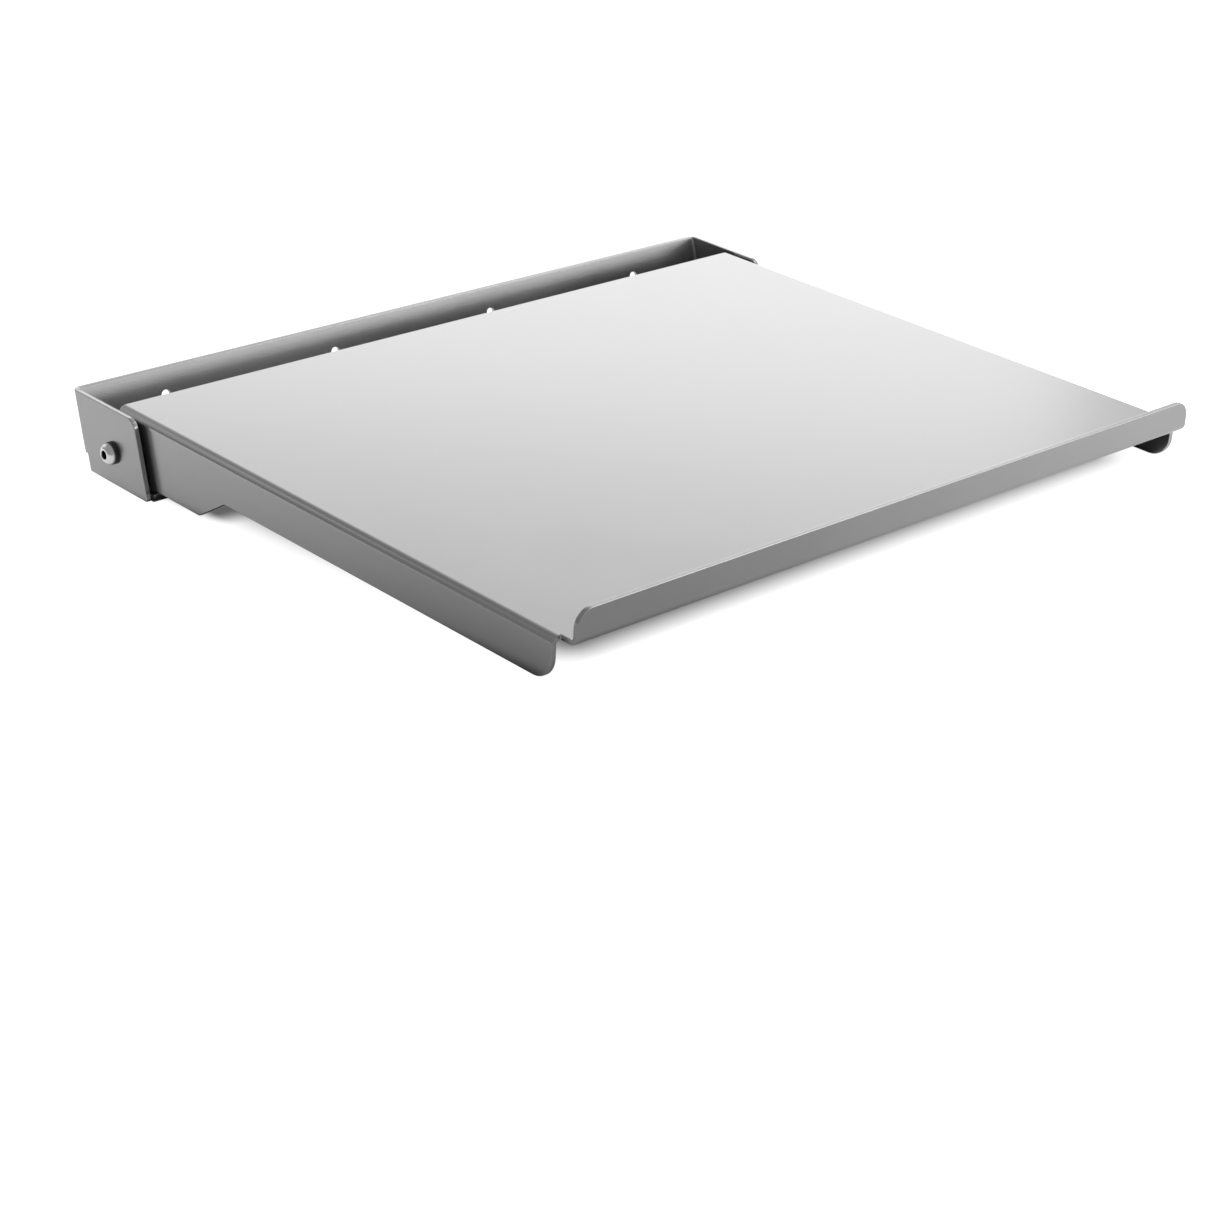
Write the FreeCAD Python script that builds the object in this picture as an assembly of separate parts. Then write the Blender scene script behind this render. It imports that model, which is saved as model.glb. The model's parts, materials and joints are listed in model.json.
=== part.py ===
import FreeCAD, Part
import math
import os

# Wall-mounted laptop holder: a folded sheet-metal tray, hinged between the ears
# of a folded sheet-metal wall bracket. Millimetres and degrees.
# Frame: +X to the user's right, +Y into the wall, +Z up. The origin is the
# middle of the row of wall-screw holes, on the wall plane.

Vector = FreeCAD.Vector

# Sheet
SHEET = 2.5               # thickness of the tray and of the bracket
BEND_INNER = 1.5          # inner radius of every bend
BEND_LAND = 0.6           # flat left between the end of a bend and a cut beside it
EDGE_BREAK = 0.4          # rounding of the coated sheet's edges
SHARP_ANGLE = 20.0        # faces that meet at more than this share an edge to round
TILT = 15.0               # slope of the open tray, down towards the user

# Tray, in its own plane: x across, y from the lip's face back, z out of the top
TRAY_WIDTH = 400.0
TRAY_DEPTH = 320.0
LIP_RISE = 13.5           # lip above the tray's top
LIP_CORNER = 8.0
CORNER_NOTCH = 5.5        # from the end of the lip's bend back to the side flange
SIDE_DROP = 21.0          # side flange, front part, below the tray's top
SIDE_DROP_REAR = 33.5     # side flange, deep part at the hinge
SIDE_NOSE = 11.0          # rounding of the side flange's lower front corner
DEEP_RUN = 65.0           # deep part, ahead of the tray's rear edge
RAMP_RUN = 20.0           # slope between the deep part and the front part
RAMP_ROUND = 3.0
HEEL_DROP = 1.5           # straight below the bend, before the rear edge slopes to the lobe
HEEL_ROUND = 1.5
PIVOT_DROP = 22.3         # hinge axis below the tray's top
PIVOT_INSET = 1.0         # hinge axis ahead of the tray's rear edge

# Bracket
PIVOT_FROM_WALL = 27.7
SCREW_ROW_RISE = 15.8     # row of wall-screw holes above the hinge axis
BACK_RISE = 30.1          # top of the back plate above the hinge axis, at the wall
EAR_DEPTH = 51.0          # wall plane to the ears' front edge
EAR_CORNER = 6.0
EAR_TOE = 1.0             # rounding of the ears' lower corners
RELIEF_DROP = 1.5         # top of the corner relief below the hinge axis
WALL_HOLE = 5.5
WALL_HOLE_COUNT = 4
WALL_HOLE_PITCH = 103.0

# Hinge hardware, M6
SCREW = 6.0
SCREW_LENGTH = 18.0
SCREW_TIP = 0.6
THREAD_PITCH = 1.0
THREAD_DEPTH = 0.5
HEAD = 10.5
HEAD_HEIGHT = 3.3
HEAD_RIM = 0.4
HEAD_CROWN = 5.6          # flat ring round the socket
HEAD_BULGE = 0.55         # dome's middle, out of the line from rim to crown
SOCKET_FLATS = 4.0
SOCKET_DEPTH = 2.1
SOCKET_CONE = 0.8
PIVOT_FIT = 0.06          # screw to tray, on the radius
EAR_FIT = 0.2             # screw to ear, on the radius
WASHER_FIT = 0.15         # screw to washers, on the radius
THREAD_FIT = 0.05         # screw to nut and nut ring, on the radius
SIDE_PLAY = 0.05          # side flange to the washer at each face
HEAD_WASHER = 11.0
HEAD_WASHER_THICK = 1.6
SPACER = 16.0             # washer in the gap between ear and side flange
SPACER_THICK = 2.0
BACK_WASHER = 12.0
BACK_WASHER_THICK = 1.6
WASHER_BREAK = 0.25
NUT_FLATS = 10.0
NUT_HEIGHT = 6.0
NUT_HEX_HEIGHT = 4.2
NUT_CHAMFER_ANGLE = 30.0
NUT_COLLAR = 9.0
NUT_COLLAR_ROUND = 0.5
RING_OUTER = 8.0
RING_THICK = 1.3
RING_COVER = 0.35         # rolled edge that holds the ring in the nut
RING_LAP = 0.5            # how far the rolled edge reaches over the ring
RING_FIT = 0.02

# Stop pads between the side flanges and the bracket's bottom flange
PAD_WIDTH = 10.0
PAD_LENGTH = 14.0
PAD_THICK = 2.2
PAD_SETBACK = 3.0         # pad's front edge behind the bottom flange's front edge
PAD_ROUND = 1.5

# Worked out from the sizes above
OVERRUN = 5.0             # how far a solid that cuts or laps another runs past it
BEND_OUTER = BEND_INNER + SHEET
SLOPE = math.tan(math.radians(TILT))
COSINE = math.cos(math.radians(TILT))
HALF = TRAY_WIDTH / 2
LOBE = SIDE_DROP_REAR - PIVOT_DROP
FLOOR_DROP = LOBE + PAD_THICK + SHEET
PIVOT_Y = -PIVOT_FROM_WALL
PIVOT_Z = -SCREW_ROW_RISE
TRAY_PIVOT = Vector(0, TRAY_DEPTH - PIVOT_INSET, -PIVOT_DROP)
EAR_INNER = HALF + SIDE_PLAY + SPACER_THICK
EAR_OUTER = EAR_INNER + SHEET
FLOOR_HALF = EAR_INNER - BEND_INNER - BEND_LAND
HEAD_SEAT = EAR_OUTER + HEAD_WASHER_THICK
BACK_WASHER_FACE = HALF - SHEET - SIDE_PLAY
NUT_FACE = BACK_WASHER_FACE - BACK_WASHER_THICK
NUT_END = NUT_FACE - NUT_HEIGHT


def rounded_wire(corners, lift):
    """Closed wire through (a, b, radius) corners; lift maps (a, b) to a point."""
    stops = []
    for i, (a, b, radius) in enumerate(corners):
        here = Vector(a, b, 0)
        if radius <= 0:
            stops.append((here, None, here))
            continue
        before = (Vector(*corners[i - 1][:2], 0) - here).normalize()
        after = (Vector(*corners[(i + 1) % len(corners)][:2], 0) - here).normalize()
        half_angle = before.getAngle(after) / 2
        reach = radius / math.tan(half_angle)
        inward = (before + after).normalize()
        middle = here + inward * (radius / math.sin(half_angle) - radius)
        stops.append((here + before * reach, middle, here + after * reach))
    edges = []
    for i, (start, middle, finish) in enumerate(stops):
        if middle is not None:
            edges.append(Part.Arc(lift(start), lift(middle), lift(finish)).toShape())
        following = stops[(i + 1) % len(stops)][0]
        if (following - finish).Length > 1e-6:
            edges.append(Part.LineSegment(lift(finish), lift(following)).toShape())
    return Part.Wire(edges)


def across(corners, x_from, x_to):
    """Solid with a (y, z) outline, drawn out along X."""
    wire = rounded_wire(corners, lambda p: Vector(x_from, p.x, p.y))
    return Part.Face(wire).extrude(Vector(x_to - x_from, 0, 0))


def along(corners, y_from, y_to):
    """Solid with an (x, z) outline, drawn out along Y."""
    wire = rounded_wire(corners, lambda p: Vector(p.x, y_from, p.y))
    return Part.Face(wire).extrude(Vector(0, y_to - y_from, 0))


def upward(corners, z_from, z_to):
    """Solid with an (x, y) outline, drawn out along Z."""
    wire = rounded_wire(corners, lambda p: Vector(p.x, p.y, z_from))
    return Part.Face(wire).extrude(Vector(0, 0, z_to - z_from))


def rod(radius, x_from, x_to):
    """Cylinder on the hinge axis."""
    return Part.makeCylinder(radius, x_to - x_from, Vector(x_from, PIVOT_Y, PIVOT_Z), Vector(1, 0, 0))


def turned(profile):
    """Solid of revolution on the hinge axis from (x, radius) points. A third
    entry marks a point that an arc passes through."""
    points = [Vector(p[0], PIVOT_Y, PIVOT_Z + p[1]) for p in profile]
    edges = []
    i = 0
    while i < len(points) - 1:
        if len(profile[i + 1]) == 3:
            edges.append(Part.Arc(points[i], points[i + 1], points[i + 2]).toShape())
            i += 2
        else:
            edges.append(Part.LineSegment(points[i], points[i + 1]).toShape())
            i += 1
    edges.append(Part.LineSegment(points[-1], points[0]).toShape())
    return Part.Face(Part.Wire(edges)).revolve(Vector(0, PIVOT_Y, PIVOT_Z), Vector(1, 0, 0), 360)


def hexagon(flats, x_from, x_to):
    """Hexagonal prism on the hinge axis."""
    corner = flats / math.sqrt(3)
    points = []
    for i in range(7):
        angle = math.radians(60 * i)
        points.append(Vector(x_from, PIVOT_Y + corner * math.cos(angle), PIVOT_Z + corner * math.sin(angle)))
    return Part.Face(Part.makePolygon(points)).extrude(Vector(x_to - x_from, 0, 0))


def sharp_edges(solid):
    """Edges of a solid where two faces meet at more than the sharp angle."""
    found = []
    for edge in solid.Edges:
        faces = solid.ancestorsOfType(edge, Part.Face)
        if len(faces) != 2:
            continue
        middle = edge.valueAt((edge.FirstParameter + edge.LastParameter) / 2)
        normals = [face.normalAt(*face.Surface.parameter(middle)) for face in faces]
        if normals[0].getAngle(normals[1]) > math.radians(SHARP_ANGLE):
            found.append(edge)
    return found


def open_tray(shape):
    """Put a shape made in the tray's own plane where the open tray is."""
    moved = shape.copy()
    moved.translate(-TRAY_PIVOT)
    moved.rotate(Vector(0, 0, 0), Vector(1, 0, 0), TILT)
    moved.translate(Vector(0, PIVOT_Y, PIVOT_Z))
    return moved


def side_outline():
    """Outline of the tray's side, as (y, z, radius) in the tray's own plane."""
    front = BEND_OUTER + CORNER_NOTCH
    ramp_rear = TRAY_DEPTH - DEEP_RUN
    ramp_front = ramp_rear - RAMP_RUN
    # The rear edge slopes from below the bend to touch the lobe round the hinge.
    neck_z = -BEND_OUTER - HEEL_DROP
    dy = TRAY_DEPTH - TRAY_PIVOT.y
    dz = neck_z - TRAY_PIVOT.z
    angle = math.atan2(dz, dy) - math.acos(LOBE / math.hypot(dy, dz))
    touch_y = TRAY_PIVOT.y + LOBE * math.cos(angle)
    touch_z = TRAY_PIVOT.z + LOBE * math.sin(angle)
    share = (-SIDE_DROP_REAR - neck_z) / (touch_z - neck_z)
    heel_y = TRAY_DEPTH + (touch_y - TRAY_DEPTH) * share
    return [
        (TRAY_DEPTH, OVERRUN, 0),
        (front, OVERRUN, 0),
        (front, -SIDE_DROP, SIDE_NOSE),
        (ramp_front, -SIDE_DROP, RAMP_ROUND),
        (ramp_rear, -SIDE_DROP_REAR, RAMP_ROUND),
        (heel_y, -SIDE_DROP_REAR, LOBE),
        (TRAY_DEPTH, neck_z, HEEL_ROUND),
    ]


def make_laptop_tray():
    """Top plate, side flanges and front lip, folded from one sheet."""
    inner = HALF - SHEET
    deep = -SIDE_DROP_REAR - OVERRUN
    front = BEND_OUTER + CORNER_NOTCH
    channel = along([
        (-HALF, 0, BEND_OUTER),
        (HALF, 0, BEND_OUTER),
        (HALF, deep, 0),
        (inner, deep, 0),
        (inner, -SHEET, BEND_INNER),
        (-inner, -SHEET, BEND_INNER),
        (-inner, deep, 0),
        (-HALF, deep, 0),
    ], front, TRAY_DEPTH + LOBE + OVERRUN)
    channel = channel.common(across(side_outline(), -HALF - OVERRUN, HALF + OVERRUN))
    lip_half = HALF - BEND_OUTER - BEND_LAND
    lip = across([
        (0, LIP_RISE, 0),
        (0, -SHEET, BEND_OUTER),
        (front + OVERRUN, -SHEET, 0),
        (front + OVERRUN, 0, 0),
        (SHEET, 0, BEND_INNER),
        (SHEET, LIP_RISE, 0),
    ], -lip_half, lip_half)
    lip_front = along([
        (-lip_half, LIP_RISE, LIP_CORNER),
        (lip_half, LIP_RISE, LIP_CORNER),
        (lip_half, -SHEET - OVERRUN, 0),
        (-lip_half, -SHEET - OVERRUN, 0),
    ], -OVERRUN, front + 2 * OVERRUN)
    tray = channel.fuse(lip.common(lip_front)).removeSplitter()
    tray = tray.makeFillet(EDGE_BREAK, sharp_edges(tray))
    tray = open_tray(tray)
    return tray.cut(rod(SCREW / 2 + PIVOT_FIT, -HALF - OVERRUN, HALF + OVERRUN))


def ear_top(forward):
    """Height of the ear's top edge at a distance from the wall plane."""
    return PIVOT_Z + BACK_RISE - forward * SLOPE


def underside(forward):
    """Height of the bracket's underside at a distance from the wall plane."""
    return PIVOT_Z - FLOOR_DROP / COSINE + (PIVOT_FROM_WALL - forward) * SLOPE


def make_wall_bracket():
    """Back plate, two ears and a sloping bottom flange, folded from one sheet."""
    low = underside(EAR_DEPTH) - OVERRUN
    far = -EAR_DEPTH - OVERRUN
    channel = upward([
        (-EAR_OUTER, 0, BEND_OUTER),
        (EAR_OUTER, 0, BEND_OUTER),
        (EAR_OUTER, far, 0),
        (EAR_INNER, far, 0),
        (EAR_INNER, -SHEET, BEND_INNER),
        (-EAR_INNER, -SHEET, BEND_INNER),
        (-EAR_INNER, far, 0),
        (-EAR_OUTER, far, 0),
    ], low, ear_top(-OVERRUN) + OVERRUN)
    relief_front = BEND_OUTER + BEND_LAND
    relief_top = PIVOT_Z - RELIEF_DROP
    ears = channel.common(across([
        (OVERRUN, ear_top(-OVERRUN), 0),
        (-EAR_DEPTH, ear_top(EAR_DEPTH), EAR_CORNER),
        (-EAR_DEPTH, underside(EAR_DEPTH), EAR_TOE),
        (-relief_front, underside(relief_front), 0),
        (-relief_front, relief_top, 0),
        (OVERRUN, relief_top, 0),
    ], -EAR_OUTER - OVERRUN, EAR_OUTER + OVERRUN))
    # The bottom flange's end is square to the sheet, flush with the ears inside.
    end = EAR_DEPTH - SHEET * math.sin(math.radians(TILT))
    floor = across([
        (0, relief_top + OVERRUN, 0),
        (0, underside(0), BEND_OUTER),
        (-end, underside(end), 0),
        (-EAR_DEPTH, underside(end) + SHEET * COSINE, 0),
        (-SHEET, underside(SHEET) + SHEET / COSINE, BEND_INNER),
        (-SHEET, relief_top + OVERRUN, 0),
    ], -FLOOR_HALF, FLOOR_HALF)
    bracket = ears.fuse(floor).removeSplitter()
    bracket = bracket.makeFillet(EDGE_BREAK, sharp_edges(bracket))
    for i in range(WALL_HOLE_COUNT):
        x = (i - (WALL_HOLE_COUNT - 1) / 2) * WALL_HOLE_PITCH
        hole = Part.makeCylinder(WALL_HOLE / 2, SHEET + 2 * OVERRUN,
                                 Vector(x, -SHEET - OVERRUN, 0), Vector(0, 1, 0))
        bracket = bracket.cut(hole)
    return bracket.cut(rod(SCREW / 2 + EAR_FIT, -EAR_OUTER - OVERRUN, EAR_OUTER + OVERRUN))


def make_pivot_screw():
    """Button-head screw on the right, from its socket in to its threaded tip."""
    crown = HEAD_SEAT + HEAD_HEIGHT
    rim = HEAD_SEAT + HEAD_RIM
    run = crown - rim
    fall = (HEAD - HEAD_CROWN) / 2
    length = math.hypot(run, fall)
    dome_x = (crown + rim) / 2 + HEAD_BULGE * fall / length
    dome_r = (HEAD + HEAD_CROWN) / 4 + HEAD_BULGE * run / length
    shank = SCREW / 2
    tip = HEAD_SEAT - SCREW_LENGTH
    profile = [
        (crown, 0),
        (crown, HEAD_CROWN / 2),
        (dome_x, dome_r, "arc"),
        (rim, HEAD / 2),
        (HEAD_SEAT, HEAD / 2),
        (HEAD_SEAT, shank),
        (BACK_WASHER_FACE, shank),
    ]
    # The thread stops short of the tip's chamfer, after its last whole turn.
    turns = math.ceil((BACK_WASHER_FACE - tip - SCREW_TIP) / THREAD_PITCH) - 1
    for i in range(turns):
        crest = BACK_WASHER_FACE - i * THREAD_PITCH
        profile.append((crest - THREAD_PITCH / 2, shank - THREAD_DEPTH))
        profile.append((crest - THREAD_PITCH, shank))
    profile += [(tip + SCREW_TIP, shank), (tip, shank - SCREW_TIP), (tip, 0)]
    screw = turned(profile)
    screw = screw.cut(hexagon(SOCKET_FLATS, crown - SOCKET_DEPTH, crown + OVERRUN))
    cone = turned([
        (crown - SOCKET_DEPTH - SOCKET_CONE, 0),
        (crown - SOCKET_DEPTH + SOCKET_CONE, SOCKET_FLATS / 2),
        (crown - SOCKET_DEPTH + SOCKET_CONE, 0),
    ])
    return screw.cut(cone)


def make_washer(outer, thick, inner_face, edge):
    """Flat washer on the hinge axis, its face nearest the middle at inner_face."""
    disc = rod(outer / 2, inner_face, inner_face + thick)
    rims = [e for e in disc.Edges if isinstance(e.Curve, Part.Circle)]
    bore = rod(SCREW / 2 + WASHER_FIT, inner_face - OVERRUN, inner_face + thick + OVERRUN)
    return disc.makeFillet(edge, rims).cut(bore)


def ring_span():
    """Both faces of the nut's nylon ring along X."""
    return NUT_END + RING_COVER, NUT_END + RING_COVER + RING_THICK


def make_lock_nut():
    """Hexagon nut with a collar round its nylon ring."""
    hex_end = NUT_FACE - NUT_HEX_HEIGHT
    corner = NUT_FLATS / math.sqrt(3)
    drop = (corner - NUT_FLATS / 2) * math.tan(math.radians(NUT_CHAMFER_ANGLE))
    blank = hexagon(NUT_FLATS, hex_end, NUT_FACE).common(turned([
        (hex_end, 0),
        (hex_end, NUT_FLATS / 2),
        (hex_end + drop, corner),
        (NUT_FACE - drop, corner),
        (NUT_FACE, NUT_FLATS / 2),
        (NUT_FACE, 0),
    ]))
    collar = rod(NUT_COLLAR / 2, NUT_END, hex_end + drop)
    rim = [e for e in collar.Edges if e.BoundBox.XMax < NUT_END + NUT_COLLAR_ROUND]
    nut = blank.fuse(collar.makeFillet(NUT_COLLAR_ROUND, rim))
    ring_from, ring_to = ring_span()
    nut = nut.cut(rod(SCREW / 2 + THREAD_FIT, NUT_END - OVERRUN, NUT_FACE + OVERRUN))
    nut = nut.cut(rod(RING_OUTER / 2, ring_from, ring_to))
    return nut.cut(rod(RING_OUTER / 2 - RING_LAP, NUT_END - OVERRUN, ring_to))


def make_nut_ring():
    """Nylon ring that locks the nut on the screw's thread."""
    ring_from, ring_to = ring_span()
    ring = rod(RING_OUTER / 2 - RING_FIT, ring_from, ring_to)
    return ring.cut(rod(SCREW / 2 + THREAD_FIT, ring_from - OVERRUN, ring_to + OVERRUN))


def make_stop_pad():
    """Rubber pad on the bottom flange, under the right side flange."""
    reach = (EAR_DEPTH - PIVOT_FROM_WALL) / COSINE + (LOBE + PAD_THICK) * SLOPE
    front = TRAY_PIVOT.y - reach + PAD_SETBACK
    corner = Vector(FLOOR_HALF - PAD_WIDTH, front, -SIDE_DROP_REAR - PAD_THICK)
    pad = Part.makeBox(PAD_WIDTH, PAD_LENGTH, PAD_THICK, corner)
    upright = [e for e in pad.Edges if e.BoundBox.ZLength > PAD_THICK / 2]
    return open_tray(pad.makeFillet(PAD_ROUND, upright))


def save(name, shape):
    """Write one node as a STEP file and print what it holds."""
    solid = shape.Solids[0]
    if len(shape.Solids) != 1 or not solid.isValid():
        print("check", name, len(shape.Solids), "solids, valid", solid.isValid())
    solid.exportStep("parts/" + name + ".step")
    box = solid.optimalBoundingBox(False)
    print(name, round(solid.Volume), "mm3", [round(v, 2) for v in (box.XMin, box.YMin, box.ZMin)],
          [round(v, 2) for v in (box.XMax, box.YMax, box.ZMax)])


def main():
    """Make every piece; the hardware is made on the right and mirrored."""
    os.makedirs("parts", exist_ok=True)
    save("wall_bracket", make_wall_bracket())
    save("laptop_tray", make_laptop_tray())
    pairs = {
        "pivot_screw": make_pivot_screw(),
        "head_washer": make_washer(HEAD_WASHER, HEAD_WASHER_THICK, EAR_OUTER, WASHER_BREAK),
        "spacer_washer": make_washer(SPACER, SPACER_THICK, HALF + SIDE_PLAY, WASHER_BREAK),
        "back_washer": make_washer(BACK_WASHER, BACK_WASHER_THICK, NUT_FACE, WASHER_BREAK),
        "lock_nut": make_lock_nut(),
        "nut_ring": make_nut_ring(),
        "stop_pad": make_stop_pad(),
    }
    for name, shape in pairs.items():
        save(name + "_right", shape)
        save(name + "_left", shape.mirror(Vector(0, 0, 0), Vector(1, 0, 0)))


main()
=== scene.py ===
"""Looks of a wall-mounted laptop holder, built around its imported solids.

A tray folded from sheet steel is hinged between the ears of a wall bracket
folded from the same sheet, on two button-head screws. Everything is in metres
and in the solids' own frame: +X to the user's right, +Y into the wall, +Z up,
with the origin in the row of wall-screw holes.
"""

import json
import logging
import math
from collections.abc import Callable, Sequence
from dataclasses import dataclass, field
from enum import Enum
from typing import Any, Self

import bmesh
import bpy
from bmesh.types import BMEdge, BMesh, BMFace, BMVert
from bpy.types import Material, Node, NodeSocket, NodeTree, Object, World
from mathutils import Matrix, Vector


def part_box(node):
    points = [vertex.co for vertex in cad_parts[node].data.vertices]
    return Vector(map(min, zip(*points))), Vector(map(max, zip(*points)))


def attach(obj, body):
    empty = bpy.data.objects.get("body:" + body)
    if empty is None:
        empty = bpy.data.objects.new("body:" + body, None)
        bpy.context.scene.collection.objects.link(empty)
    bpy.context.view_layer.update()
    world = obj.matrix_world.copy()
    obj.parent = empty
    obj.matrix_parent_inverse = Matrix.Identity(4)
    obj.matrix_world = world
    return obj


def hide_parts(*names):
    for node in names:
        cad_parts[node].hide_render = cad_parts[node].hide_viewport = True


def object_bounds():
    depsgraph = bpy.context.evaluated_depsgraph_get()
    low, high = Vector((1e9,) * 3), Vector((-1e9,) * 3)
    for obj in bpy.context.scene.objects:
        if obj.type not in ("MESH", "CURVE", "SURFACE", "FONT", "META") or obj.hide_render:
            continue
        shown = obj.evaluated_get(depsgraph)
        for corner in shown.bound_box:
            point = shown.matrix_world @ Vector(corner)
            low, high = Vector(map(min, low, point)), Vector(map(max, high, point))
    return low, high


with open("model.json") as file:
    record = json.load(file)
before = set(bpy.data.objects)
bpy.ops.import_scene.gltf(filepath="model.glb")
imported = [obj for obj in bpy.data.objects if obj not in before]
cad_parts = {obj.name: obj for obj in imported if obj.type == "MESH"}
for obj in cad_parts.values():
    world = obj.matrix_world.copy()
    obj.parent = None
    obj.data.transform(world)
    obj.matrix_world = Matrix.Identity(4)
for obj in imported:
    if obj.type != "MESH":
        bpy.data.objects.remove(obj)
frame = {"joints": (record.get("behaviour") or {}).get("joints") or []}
cad_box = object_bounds()

log = logging.getLogger("laptop_holder")

HINGE = Vector(frame["joints"][0]["pos_m"])
TILT = math.radians(15.0)
GAUGE = 0.0025
BEND_INNER = 0.0015
BEND_OUTER = BEND_INNER + GAUGE
BEND_LAND = 0.0006
EDGE_BREAK = 0.0004
HOLE_BREAK = 0.0002
ARC_STRIPS = 8
ROUND_STRIPS = 48
BREAK_STRIPS = 3
SHARP = math.radians(25.0)
CREASE = math.radians(38.0)
SAME_POINT = 1e-6
FLAT_WITHIN = 1e-5
SAME_WAY = 0.9999
QUARTER = math.pi / 2
ORIGIN = Vector((0, 0, 0))
X_AXIS = Vector((1, 0, 0))
Y_AXIS = Vector((0, 1, 0))
Z_AXIS = Vector((0, 0, 1))

Triple = tuple[float, float, float]
Point = tuple[float, float]
Place = Callable[[float, float], Vector]
Colour = tuple[float, float, float, float]


class Side(Enum):
    """The two ends of the hinge, as the sign of their X."""

    LEFT = -1
    RIGHT = 1

    def node(self, stem: str) -> str:
        """Return the name of this side's node."""
        return f"{stem}_{self.name.lower()}"

    def piece(self, stem: str) -> str:
        """Return the name of this side's dressed piece."""
        return f"{self.name.lower()}_{stem}"


class Body(Enum):
    """The bodies that pieces ride on."""

    BRACKET = "bracket"
    TRAY = "tray"


class Slot(Enum):
    """The record's material slots."""

    COAT = "coated_steel"
    STAINLESS = "stainless_screw"
    ZINC = "zinc_steel"
    BLACK_NYLON = "black_nylon"
    NUT_NYLON = "nut_nylon"
    RUBBER = "black_rubber"


def mirrored(right: Sequence[Triple]) -> list[Triple]:
    """Return the right half of an outline and then its mirror image."""
    return [*right, *((-x, y, radius) for x, y, radius in reversed(right))]


def arc_points(start: Point, finish: Point, bulge: float, steps: int) -> list[Point]:
    """Return points along a shallow arc between two points of a profile.

    Args:
        start: Point that the arc leaves from.
        finish: Point that the arc ends at.
        bulge: Height of the arc over its chord, to the right of its travel.
        steps: Chords along the arc.

    Returns:
        The arc's points, both ends included.
    """
    begin, end = Vector(start), Vector(finish)
    chord = end - begin
    radius = (chord.length_squared / 4 + bulge * bulge) / (2 * bulge)
    centre = (begin + end) / 2 + Vector((chord.y, -chord.x)).normalized() * (bulge - radius)
    spread = 2 * math.asin(chord.length / 2 / radius)
    turns = [Matrix.Rotation(spread * step / steps, 2) for step in range(steps + 1)]
    return [tuple(centre + turn @ (begin - centre)) for turn in turns]


def add_object(name: str, data: Any) -> Object:
    """Put a new object into the scene and return it."""
    made = bpy.data.objects.new(name, data)
    bpy.context.scene.collection.objects.link(made)
    return made


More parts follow.
